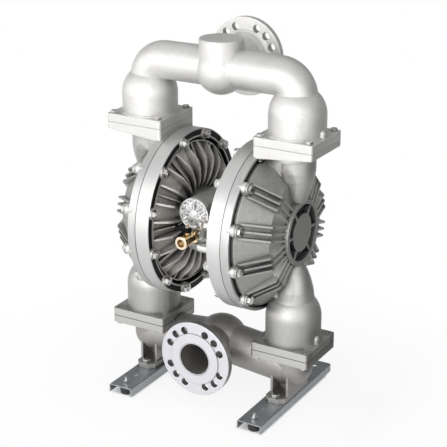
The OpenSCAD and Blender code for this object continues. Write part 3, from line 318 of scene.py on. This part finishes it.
def casting(name, color, rough, grain, edge, corner_shade, mottle=0.10, edge_wear_and_highlight=0.5, detail=None):
    """Sand-cast metal, blasted clean: fine grain, slow tone changes, painted shade in corners, and pale
    edges, partly wear and partly painted highlight.
    """
    n = Finish(name)
    cloud = n.noise(14, 4, 0.6)
    fine = n.noise(1500, 2, 0.7)
    peel = n.noise(260, 3, 0.6)
    patch = n.noise(110, 4, 0.65)
    n.wide_sky = n.open_sky(0.03)
    normal = n.round_edges(edge)
    tone = n.mix(n.span(cloud, 0.32, 0.68), shade(color, 0.92), shade(color, 1.05))
    tone = n.mix(n.span(fine, 0.25, 0.75, 0.0, 0.35), tone, shade(color, 0.80))
    tone = n.mix(n.span(patch, 0.35, 0.65), tone, shade(color, 1 - mottle))
    # Painted shade: the tone is darkened in corners and hollows within three centimetres.
    tone = n.mix(n.span(n.wide_sky, 0.75, 0.25, 0.0, corner_shade), tone, shade(color, 0.30))
    # Pale outer edges, partly wear and partly a painted highlight.
    worn_and_lit_edges = n.math("MULTIPLY", n.outer_edge_mask(normal), n.span(n.wide_sky, 0.45, 0.75, 0.0, edge_wear_and_highlight))
    tone = n.mix(worn_and_lit_edges, tone, shade(color, 1.55))
    level = n.span(cloud, 0.3, 0.7, rough - 0.05, rough + 0.06)
    normal = n.bump(peel, 0.35 * grain, 0.0006, normal)
    normal = n.bump(fine, 0.6 * grain, 0.00025, normal)
    return n.apply(*detail(n, tone, level, normal))


def distance(n, a, a_axis, b, b_axis):
    """Distance from the line at a = a_axis, b = b_axis."""
    da = n.math("SUBTRACT", a, a_axis)
    db = n.math("SUBTRACT", b, b_axis)
    return n.math("SQRT", n.math("ADD", n.math("MULTIPLY", da, da), n.math("MULTIPLY", db, db)))


def band(n, value, centre, half):
    """1 within half of the centre, with an edge a fifth as wide, and 0 outside."""
    off = n.math("ABSOLUTE", n.math("SUBTRACT", value, centre))
    return n.span(off, half * 1.1, half * 0.9)


def beyond(n, value, edge, soft):
    """1 where the value is above the edge and 0 where it is below, with a border soft to each side."""
    return n.span(value, edge - soft, edge + soft)


def short_of(n, value, edge, soft):
    """1 where the value is below the edge and 0 where it is above, with a border soft to each side."""
    return n.span(value, edge + soft, edge - soft)


def plate_fronts(n):
    """1 on the front and back edges of the lower joint plates."""
    side = beyond(n, n.math("ABSOLUTE", n.x), plate_in_x - 0.0045, 0.0015)
    edge = beyond(n, n.math("ABSOLUTE", n.y), plate_y - 0.0007, 0.0003)
    return n.math("MULTIPLY", n.math("MULTIPLY", side, edge), band(n, n.z, lower_seam_z, PLATE_HALF_T))


def inlet_detail(n, tone, level, normal):
    r = distance(n, n.x, 0.0, n.z, inlet_axis_z)
    face = n.math("LESS_THAN", n.y, flange_front_y + 0.0028)
    lathe_lines = n.math("SINE", n.math("MULTIPLY", r, 2 * math.pi / LATHE_PITCH))
    tone = n.mix(face, tone, TURNED_FACE)
    level = n.span(face, 0, 1, level, 0.55)
    normal = n.bump(n.math("MULTIPLY", lathe_lines, face), 0.15, 0.0002, normal)
    bore = n.math("MULTIPLY", n.math("LESS_THAN", r, BORE_R), n.math("LESS_THAN", n.y, BORE_DEPTH_Y))
    tone = n.mix(bore, tone, BORE_SKIN)
    cuts = n.math("MAXIMUM", band(n, r, RAISED_FACE_R, 0.0007), band(n, r, BORE_LIP_R, 0.0006))
    tone = n.mix(n.math("MULTIPLY", face, cuts), tone, FACE_CUT)
    outside = beyond(n, n.math("ABSOLUTE", n.x), plate_in_x - 0.002, 0.001)
    tone = n.mix(plate_fronts(n), tone, MILLED_PLATE)
    tone = n.mix(n.math("MULTIPLY", band(n, n.z, lower_seam_z, SEAM_HALF), outside), tone, SEAM_SHADOW)
    return tone, level, normal


warm_casting = casting("warm_casting", WARM_CASTING, rough=0.52, grain=0.8, edge=0.0016, corner_shade=0.4,
                       detail=inlet_detail)
dress(warm_casting, "inlet_manifold")


# Check valves
# Four white balls lie loose in the ball chambers, each on a turned steel seat with a soft ring round it.
BALL_WHITE = (0.85, 0.85, 0.83)
TURNED_STEEL = (0.66, 0.66, 0.66)

white_ptfe = moulded("white_ptfe", BALL_WHITE, rough=0.35, edge=0.0005, grain=0.1, spread=0.03)
machined_steel = worked_metal("machined_steel", TURNED_STEEL, rough=0.22)
for level_name in ("lower", "upper"):
    for side_name in ("left", "right"):
        dress(white_ptfe, f"{level_name}_ball_{side_name}")
        dress(machined_steel, f"{level_name}_seat_{side_name}")
    dress(black_rubber, f"{level_name}_seat_rings")


# Outer chambers
# Two domed stainless castings hold the liquid, each bolted to its air chamber round a clamped ring.
# The dome's skin is satin and dark, with painted shade in its creases and hub pocket and painted light on
# its ports and inner cone. The rings are turned and the pads are machined.
SATIN_CASTING = (0.415, 0.412, 0.402)
CREASE_SHADE = (0.035, 0.034, 0.032)
PORT_LIGHT = (0.60, 0.595, 0.58)
POCKET_SHADE = (0.03, 0.03, 0.03)
MACHINED_PAD_AND_CONE_LIGHT = (0.66, 0.655, 0.64)
PAD_CREASE_SHADE = (0.20, 0.20, 0.195)
WASHER_LINE = (0.16, 0.16, 0.155)
UPPER_SEAM_SHADOW = (0.22, 0.22, 0.215)
TURNED_RING_DARK = (0.49, 0.49, 0.485)
TURNED_RING_PALE = (0.59, 0.59, 0.585)
PARTING_SHADOW = (0.12, 0.12, 0.12)
RING_FACE_X = 0.137
HUB_POCKET_R = 0.069
HUB_RING_R = 0.0815
INNER_CONE_R = 0.129
CONE_START_Y = 0.045
NECK_LOW_H = 0.096
NECK_LOW_HALF_W = 0.029
NECK_HIGH_H = 0.170
NECK_HIGH_HALF_W = 0.046
NECK_START_H = 0.100
BALL_CHAMBER_R = 0.068
BALL_CHAMBER_H = 0.165
RING_BOLTS = 12
RING_BOLT_EDGE = 0.0135
PAD_R = 0.0149
PAD_MIDDLE_X = 0.1450
PAD_HALF_T = 0.0074
PAD_END_H = 0.168
WASHER_X = 0.1495
WASHER_STEP_X = 0.1470
UPPER_PLATE_T = 0.0335

ring_low, ring_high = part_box("air_chamber_right")
shaft_z = (ring_low[2] + ring_high[2]) / 2
ring_r = ring_high[1]
parting_x = ring_high[0]
bolt_circle_r = ring_r - RING_BOLT_EDGE
upper_seam_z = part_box("outer_chamber_right")[1][2]


def from_bolt(n, r):
    """Distance in the ring's plane from the nearest ring bolt's axis, at radius r from the shaft."""
    half_step = math.pi / RING_BOLTS
    angle = n.math("ARCTAN2", n.math("SUBTRACT", n.z, shaft_z), n.y)
    swing = n.math("PINGPONG", n.math("ADD", angle, 2 * math.pi), half_step)
    swing = n.math("SUBTRACT", swing, half_step)
    along = n.math("MULTIPLY", r, n.math("COSINE", swing))
    across = n.math("MULTIPLY", r, n.math("SINE", swing))
    return distance(n, along, bolt_circle_r, across, 0.0)


def port_mask(n, out, height):
    """1 on the tapered necks and on the round ball chambers, outside the clamped ring."""
    neck_half_w = n.span(height, NECK_LOW_H, NECK_HIGH_H, NECK_LOW_HALF_W, NECK_HIGH_HALF_W)
    past_side = n.math("SUBTRACT", n.math("ABSOLUTE", n.y), neck_half_w)
    neck = n.math("MULTIPLY", short_of(n, past_side, 0.001, 0.001), beyond(n, height, NECK_START_H, 0.020))
    chamber = short_of(n, distance(n, out, port_x, n.y, 0.0), BALL_CHAMBER_R, 0.002)
    chamber = n.math("MULTIPLY", chamber, beyond(n, height, BALL_CHAMBER_H, 0.005))
    return n.math("MULTIPLY", n.math("MAXIMUM", neck, chamber), beyond(n, out, RING_FACE_X + 0.001, 0.001))


def inner_cone(n, r):
    """1 on the dome's inner cone, between its knee and the hub, but not on the necks."""
    cone = n.math("MULTIPLY", short_of(n, r, INNER_CONE_R, 0.001), beyond(n, r, HUB_RING_R, 0.0015))
    return n.math("MULTIPLY", cone, beyond(n, n.math("ABSOLUTE", n.y), CONE_START_Y, 0.005))


def bolt_pads(n, r, out, height):
    """1 on the pads that the ring bolts' washers press on."""
    pad = short_of(n, from_bolt(n, r), PAD_R, 0.0003)
    pad = n.math("MULTIPLY", pad, band(n, out, PAD_MIDDLE_X, PAD_HALF_T))
    return n.math("MULTIPLY", pad, short_of(n, height, PAD_END_H, 0.002))


def turned_edge(n, r, out):
    """1 on the turned edges of the clamped rings."""
    return n.math("MULTIPLY", band(n, r, ring_r, 0.0018), short_of(n, out, RING_FACE_X, 0.0005))


def parting_line(n, turned, out):
    """1 on the thin line where the two rings meet."""
    return n.math("MULTIPLY", turned, band(n, out, parting_x, 0.0010))


def chamber_detail(n, tone, level, normal):
    r = distance(n, n.y, 0.0, n.z, shaft_z)
    out = n.math("ABSOLUTE", n.x)
    height = n.math("ABSOLUTE", n.math("SUBTRACT", n.z, shaft_z))
    # Painted shade: creases and narrow corners are darkened to near black.
    crease_shade = n.span(n.open_sky(0.012), 0.80, 0.30, 0.0, 0.85)
    tone = n.mix(crease_shade, tone, CREASE_SHADE)
    # Painted light: the necks and ball chambers are painted paler than the dome.
    tone = n.mix(n.math("MULTIPLY", port_mask(n, out, height), 0.55), tone, PORT_LIGHT)
    # Painted shade: the hub's pocket is darkened to near black where it is enclosed.
    pocket = short_of(n, r, HUB_POCKET_R, 0.0005)
    tone = n.mix(n.math("MULTIPLY", pocket, n.span(n.wide_sky, 0.90, 0.45, 0.0, 0.65)), tone, POCKET_SHADE)
    tone = n.mix(plate_fronts(n), tone, MILLED_PLATE)
    # Painted light: the dome's inner cone is painted paler, in the pads' machined colour.
    tone = n.mix(n.math("MULTIPLY", inner_cone(n, r), 0.75), tone, MACHINED_PAD_AND_CONE_LIGHT)
    pads = bolt_pads(n, r, out, height)
    upper_plate = beyond(n, n.z, upper_seam_z - UPPER_PLATE_T, 0.001)
    # Painted shade in the pads' creases as well.
    machined = n.mix(crease_shade, MACHINED_PAD_AND_CONE_LIGHT, PAD_CREASE_SHADE)
    tone = n.mix(n.math("MAXIMUM", pads, upper_plate), tone, machined)
    washer = n.math("MAXIMUM", band(n, out, WASHER_X, 0.0007), band(n, out, WASHER_STEP_X, 0.0006))
    tone = n.mix(n.math("MULTIPLY", pads, washer), tone, WASHER_LINE)
    tone = n.mix(band(n, n.z, lower_seam_z, SEAM_HALF), tone, SEAM_SHADOW)
    tone = n.mix(band(n, n.z, upper_seam_z, 0.0008), tone, UPPER_SEAM_SHADOW)
    turned = turned_edge(n, r, out)
    lines = n.noise(900, 1, 0.5, stretch=(1.0, 0.02, 0.02))
    tone = n.mix(turned, tone, n.mix(n.span(lines, 0.35, 0.65), TURNED_RING_DARK, TURNED_RING_PALE))
    tone = n.mix(parting_line(n, turned, out), tone, PARTING_SHADOW)
    normal = n.bump(n.math("MULTIPLY", lines, turned), 0.3, 0.0003, normal)
    level = n.span(turned, 0, 1, level, 0.50)
    return tone, level, normal


satin_chamber = casting("satin_chamber", SATIN_CASTING, rough=0.55, grain=0.7, edge=0.0016, corner_shade=0.5,
                        mottle=0.16, edge_wear_and_highlight=0.6, detail=chamber_detail)
dress(satin_chamber, "outer_chamber_left", "outer_chamber_right")


# Air chambers
# Two dished aluminium castings with radial fins, with painted shade between the fins and crests pale from
# wear and painted highlight.
# Their rings are turned together with the outer chambers' rings, and a painted shadow of a groove runs
# behind the rim.
FIN_CASTING = (0.74, 0.72, 0.69)
FIN_GAP_SHADE = (0.014, 0.0135, 0.013)
PAINTED_GROOVE_SHADOW = (0.022, 0.022, 0.022)
TURNED_RIM = (0.62, 0.62, 0.615)
GROOVE_SHADOW_R = 0.1950
GROOVE_SHADOW_HALF_W = 0.0068
INNER_GROOVE_SHADOW_R = 0.1800
INNER_GROOVE_SHADOW_HALF_W = 0.0042
GROOVE_SHADOW_DEEP_X = 0.0965
GROOVE_SHADOW_SHALLOW_X = 0.0760


def fin_detail(n, tone, level, normal):
    # Painted shade: the gaps between the fins are darkened to near black.
    tone = n.mix(n.span(n.open_sky(0.030), 0.66, 0.26, 0.0, 0.97), tone, FIN_GAP_SHADE)
    r = distance(n, n.y, 0.0, n.z, shaft_z)
    out = n.math("ABSOLUTE", n.x)
    # Painted shadow of a groove behind the rim: the outer band lies on the ring's flat face, where no
    # groove is cut, and the inner band darkens the groove inside it. Bolt pads are left out.
    outer_groove_shadow = band(n, r, GROOVE_SHADOW_R, GROOVE_SHADOW_HALF_W)
    inner_groove_shadow = band(n, r, INNER_GROOVE_SHADOW_R, INNER_GROOVE_SHADOW_HALF_W)
    groove_shadow_mask = n.math("MAXIMUM", outer_groove_shadow, inner_groove_shadow)
    groove_shadow_mask = n.math("MULTIPLY", groove_shadow_mask, beyond(n, from_bolt(n, r), PAD_R, 0.0003))
    groove_shadow_mask = n.math("MULTIPLY", groove_shadow_mask, short_of(n, out, GROOVE_SHADOW_DEEP_X, 0.001))
    groove_shadow_mask = n.math("MULTIPLY", groove_shadow_mask, beyond(n, out, GROOVE_SHADOW_SHALLOW_X, 0.0005))
    tone = n.mix(groove_shadow_mask, tone, PAINTED_GROOVE_SHADOW)
    turned = turned_edge(n, r, out)
    tone = n.mix(turned, tone, TURNED_RIM)
    tone = n.mix(parting_line(n, turned, out), tone, PARTING_SHADOW)
    level = n.span(turned, 0, 1, level, 0.50)
    return tone, level, normal


dark_casting = casting("dark_casting", FIN_CASTING, rough=0.52, grain=1.0, edge=0.0012, corner_shade=0.3,
                       mottle=0.2, edge_wear_and_highlight=0.7, detail=fin_detail)
dress(dark_casting, "air_chamber_left", "air_chamber_right")


# Centre body and shaft
# The air chambers are bolted to a cast centre body, which carries the shaft in bronze bushes with seals.
# Turned plates on the shaft's ends hold the diaphragms between them.
VALVE_CASTING = (0.66, 0.66, 0.65)
BRONZE = (0.60, 0.38, 0.18)

valve_casting = worked_metal("valve_casting", VALVE_CASTING, rough=0.36, edge=0.001, grain=0.6)
dress(valve_casting, "centre_body")
dress(bright_bolt, "centre_bolts")
dress(worked_metal("bronze", BRONZE, rough=0.38), "shaft_bush_left", "shaft_bush_right")
dress(machined_steel, "diaphragm_shaft", "inner_plate_left", "inner_plate_right", "outer_plate_left",
      "outer_plate_right")
dress(black_rubber, "shaft_seals")


# Diaphragms
# Moulded rubber discs: the bead is clamped between the rings, and the shaft's plates carry the middle.
# Each is made of gores side by side, all swept from one folded section.
DISC_BORE_R = 0.014
HELD_R = 0.091
WEB_IN_R = 0.152
BEAD_IN_R = 0.166
DISC_T = 0.0060
WEB_T = 0.0044
GORES = 12
GORE_STEPS = 4
ROLL_STEPS = 12

gore_step = 2 * math.pi / (GORES * GORE_STEPS)


def diaphragm_section(fold, bead_out_r):
    """Outline of half the disc as (offset towards the liquid, radius), round from the bore's air side."""
    half = DISC_T / 2
    air = [(-half, DISC_BORE_R)]
    liquid = [(half, DISC_BORE_R)]
    for i in range(ROLL_STEPS + 1):
        share = i / ROLL_STEPS
        r = HELD_R + (WEB_IN_R - HELD_R) * share
        thin = (DISC_T + (WEB_T - DISC_T) * share) / 2
        dip = -fold * (1 - math.cos(2 * math.pi * share)) / 2
        air.append((dip - thin, r))
        liquid.append((dip + thin, r))
    air += [(-WEB_T / 2, BEAD_IN_R), (-half, BEAD_IN_R), (-half, bead_out_r)]
    liquid += [(WEB_T / 2, BEAD_IN_R), (half, BEAD_IN_R), (half, bead_out_r)]
    return air + liquid[::-1]


def diaphragm_gore(name, section, plane_x, side, first):
    """One gore: the section swept from the angle first, at plane_x on this side of the pump."""
    verts = []
    for i in range(GORE_STEPS + 1):
        angle = first + gore_step * i
        for x, r in section:
            verts.append((side * (plane_x + x), r * math.cos(angle), shaft_z + r * math.sin(angle)))
    count = len(section)
    faces = []
    for i in range(GORE_STEPS):
        for j in range(count):
            k = (j + 1) % count
            faces.append([i * count + j, i * count + k, (i + 1) * count + k, (i + 1) * count + j])
    faces.append(list(range(count))[::-1])
    faces.append([GORE_STEPS * count + j for j in range(count)])
    if side > 0:
        faces = [face[::-1] for face in faces]
    mesh = bpy.data.meshes.new(name)
    mesh.from_pydata(verts, [], faces)
    mesh.materials.append(black_rubber)
    gore = bpy.data.objects.new(name, mesh)
    scene.collection.objects.link(gore)
    return gore


def diaphragm(node, side):
    """A disc of gores in this node's place, from the clamped bead to the plates."""
    low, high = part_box(node)
    plane_x = max(abs(low[0]), abs(high[0])) - DISC_T / 2
    fold = high[0] - low[0] - DISC_T
    section = diaphragm_section(fold, high[1])
    half_gore = gore_step * GORE_STEPS / 2
    for i in range(GORES):
        middle = half_gore * (2 * i + 1)
        gore = diaphragm_gore(f"{node}_gore_{i + 1}", section, plane_x, side, middle - half_gore)
        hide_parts(node)
        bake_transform(gore)


diaphragm("diaphragm_left", -1)
diaphragm("diaphragm_right", 1)


# Ring and joint fasteners
# Bright stainless hexagon bolts, studs and nuts, round the rings and at the joint plates' corners.
dress(bright_bolt, "ring_bolts_left", "ring_bolts_right", "ring_nuts_left", "ring_nuts_right",
      "lower_joint_bolts", "upper_joint_bolts", "upper_joint_nuts")


# Outlet manifold
# The liquid's way out: one bead-blasted stainless casting with two ball housings, elbows and a cross pipe.
# The rear flange's face is turned, and a fine parting seam runs round the elbows and the pipe.
BLASTED_STAINLESS = (0.70, 0.695, 0.68)
TURNED_STAINLESS = (0.86, 0.86, 0.85)
PIPE_SEAM_Z = 0.788

flange_back_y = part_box("outlet_manifold")[1][1]


def outlet_detail(n, tone, level, normal):
    face = n.math("GREATER_THAN", n.y, flange_back_y - 0.0025)
    tone = n.mix(face, tone, TURNED_STAINLESS)
    level = n.span(face, 0, 1, level, 0.28)
    normal = n.bump(band(n, n.z, PIPE_SEAM_Z, 0.0010), 0.8, -0.0012, normal)
    return tone, level, normal


blasted_stainless = casting("blasted_stainless", BLASTED_STAINLESS, rough=0.60, grain=0.5, edge=0.003,
                            corner_shade=0.30, detail=outlet_detail)
dress(blasted_stainless, "outlet_manifold")


# Air valve
# A cast housing holds the sleeve and the spool. A ribbed die-cast cover closes it over a gasket, with the
# reset button in its middle, and the polished cross cylinder below it holds the pilot spool.
DIECAST = (0.86, 0.86, 0.85)
DIECAST_PALE = (0.93, 0.93, 0.92)
WELL_DARK = (0.32, 0.32, 0.325)
WELL_PALE = (0.92, 0.92, 0.92)
WELL_Y = -0.1250
WELL_HALF_T = 0.0022
WELL_R = 0.0364

cover_low, cover_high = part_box("air_valve_cover")
cover_z = (cover_low[2] + cover_high[2]) / 2


def ribbed_cover():
    """Die-cast cover: bright rim, ribs and boss over wells with a dark, blotchy floor."""
    n = Finish("ribbed_cover")
    blotch = n.noise(170, 3, 0.7)
    fine = n.noise(1500, 2, 0.6)
    inside = short_of(n, distance(n, n.x, 0.0, n.z, cover_z), WELL_R, 0.0004)
    wells = n.math("MULTIPLY", band(n, n.y, WELL_Y, WELL_HALF_T), inside)
    tone = n.mix(n.span(fine, 0.3, 0.7), DIECAST, DIECAST_PALE)
    tone = n.mix(wells, tone, n.mix(n.span(blotch, 0.44, 0.57), WELL_DARK, WELL_PALE))
    level = n.span(fine, 0.3, 0.7, 0.30, 0.40)
    return n.apply(tone, level, n.bump(fine, 0.3, 0.0002, n.round_edges(0.0008)))


dress(ribbed_cover(), "air_valve_cover")
dress(worked_metal("bright_diecast", DIECAST, rough=0.32, edge=0.0008, grain=0.3), "pilot_valve_body",
      "reset_button")
dress(valve_casting, "air_valve_body")
dress(machined_steel, "air_valve_sleeve", "air_valve_spool", "pilot_spool")
dress(black_rubber, "spool_seals", "cover_gasket")
dress(bright_bolt, "cover_bolts")


# Exhaust silencer
# Moulded grey plastic, screwed into the centre body's back, where the spent air leaves.
PLASTIC_GREY = (0.10, 0.10, 0.105)

dress(moulded("grey_plastic", PLASTIC_GREY, rough=0.5), "exhaust_silencer")


# Brass inlet valve
# Shuts the air off: a forged and turned brass body on a steel nipple, with a steel ball in white seats.
# Its brass stem carries a moulded black lever, which a nut holds.
BRASS = (0.62, 0.45, 0.24)
BRASS_FRONT = (0.95, 0.80, 0.63)
LEVER_BLACK = (0.003, 0.003, 0.0035)
LEVER_SHEEN = 0.12

barrel_front_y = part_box("brass_valve_body")[0][1]


def pale_front(n, tone):
    """The turned front of the barrel is paler than its forged skin."""
    return n.mix(n.math("LESS_THAN", n.y, barrel_front_y + 0.0022), tone, BRASS_FRONT)


brass = worked_metal("brass_metal", BRASS, rough=0.26, edge=0.0008, grain=0.15, corner_shade=0.8, reach=0.008,
                     edge_wear_and_highlight=0.7, detail=pale_front)
dress(brass, "brass_valve_body", "brass_valve_stem")
dress(bright_bolt, "inlet_nipple", "handle_nut")
dress(machined_steel, "brass_valve_ball")
dress(white_ptfe, "brass_valve_seats")
black_lever = moulded("black_lever", LEVER_BLACK, rough=0.5, edge=0.0015)
black_lever.node_tree.nodes["Principled BSDF"].inputs["Specular IOR Level"].default_value = LEVER_SHEEN
dress(black_lever, "brass_valve_handle")


# Floor
# A pale matt sheet under the rubber feet, which isn't part of the pump. Away from the pump, and for the
# camera's rays, it fades into the white of the room. Strips under the rails stay dark.
FLOOR_SIZE = 14.0
PAPER_DARK = (0.80, 0.80, 0.80)
PAPER_PALE = (0.82, 0.82, 0.82)
RAIL_X = 0.183
RAIL_HALF_W = 0.036
STRIP_SHIFT_X = 0.008
STRIP_END_Y = 0.175

bpy.ops.mesh.primitive_plane_add(size=FLOOR_SIZE, location=(0, 0, 0))
floor = bpy.context.object
floor.name = "floor"
sheet = Finish("floor_paper")
paper = sheet.noise(300)
sheet.apply(sheet.mix(paper, PAPER_DARK, PAPER_PALE), 0.9, sheet.bump(paper, 0.02, 0.0002), metallic=0.0)
glow = sheet.node("ShaderNodeEmission")
ray = sheet.node("ShaderNodeLightPath")
seen = sheet.math("MAXIMUM", ray.outputs["Is Camera Ray"], ray.outputs["Is Transmission Ray"])
seen = sheet.math("MAXIMUM", seen, sheet.math("MULTIPLY", ray.outputs["Is Glossy Ray"], 0.5))
reach = sheet.span(distance(sheet, sheet.x, 0.0, sheet.y, 0.0), 0.15, 0.75, 0.86, 1.0)
from_middle = sheet.math("ABSOLUTE", sheet.math("ADD", sheet.x, STRIP_SHIFT_X))
strip_ends = short_of(sheet, sheet.math("ABSOLUTE", sheet.y), STRIP_END_Y, 0.005)
strips = sheet.math("MULTIPLY", band(sheet, from_middle, RAIL_X, RAIL_HALF_W), strip_ends)
reach = sheet.math("MULTIPLY", reach, sheet.span(strips, 0.0, 1.0, 1.0, 0.1))
fade = sheet.node("ShaderNodeMixShader")
sheet.link(sheet.math("MULTIPLY", seen, reach), fade.inputs[0])
sheet.link(sheet.shader.outputs[0], fade.inputs[1])
sheet.link(glow.outputs[0], fade.inputs[2])
sheet.link(fade.outputs[0], sheet.out.inputs["Surface"])
floor.data.materials.append(sheet.mat)


# Flags
# Two dark cloth boards to the right, which keep light off the faces that look that way.
# The camera doesn't see them.
CLOTH_DARK = (0.03, 0.03, 0.03)
CLOTH_PALE = (0.05, 0.05, 0.05)

cloth = Finish("flag_cloth")
weave = cloth.noise(500)
cloth.apply(cloth.mix(weave, CLOTH_DARK, CLOTH_PALE), 0.9, cloth.bump(weave, 0.1, 0.0003), metallic=0.0)


def flag_board(name, place, height, length):
    """An upright board along Y, centred on this place."""
    bpy.ops.mesh.primitive_plane_add(size=1, location=place, rotation=(0, math.radians(90), 0))
    board = bpy.context.object
    board.name = name
    board.scale = (height, length, 1.0)
    board.visible_camera = False
    board.data.materials.append(cloth.mat)


flag_board("far_flag", (0.95, 1.0, 0.27), height=0.54, length=2.4)
flag_board("near_flag", (0.40, 0.35, 0.085), height=0.17, length=0.9)
